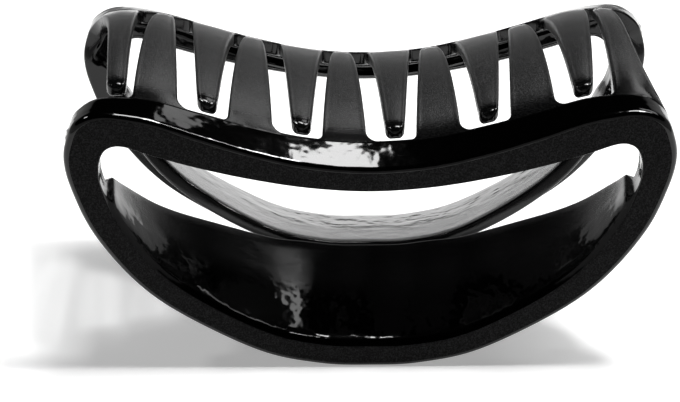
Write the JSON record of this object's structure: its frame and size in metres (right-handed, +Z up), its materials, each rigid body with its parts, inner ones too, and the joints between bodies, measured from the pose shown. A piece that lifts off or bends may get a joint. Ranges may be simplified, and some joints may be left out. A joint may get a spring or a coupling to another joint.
{
  "type": "jaw hair clip",
  "caption": "Jaw hair clip with two kidney-shaped loops, sloping plates on a sprung hinge and interlacing arched teeth.",
  "frame": {"origin": "bottom centre, on the floor below the hinge and midway between the two jaws", "axes": "+X along the clip's width and the hinge, +Y from the front jaw to the rear jaw, +Z up from the loops it rests on to the teeth"},
  "size_m": [0.0882, 0.046, 0.0448],
  "materials": {
    "black_plastic": "glossy black moulded plastic, satin on the flat faces",
    "steel": "bright drawn steel wire"
  },
  "bodies": {
    "rear_half": {"rear_jaw": "black_plastic", "hinge_pin": "steel", "spring": "steel"},
    "front_half": {"front_jaw": "black_plastic"}
  },
  "joints": [
    {"name": "jaw_hinge", "type": "hinge", "parent": "rear_half", "child": "front_half", "pos_m": [0, 0, 0.0062], "axis": [1, 0, 0], "range_deg": [0, 60], "stiffness_Nm_per_rad": 0.01, "springref_deg": -17.19, "deforming": ["spring"]}
  ]
}
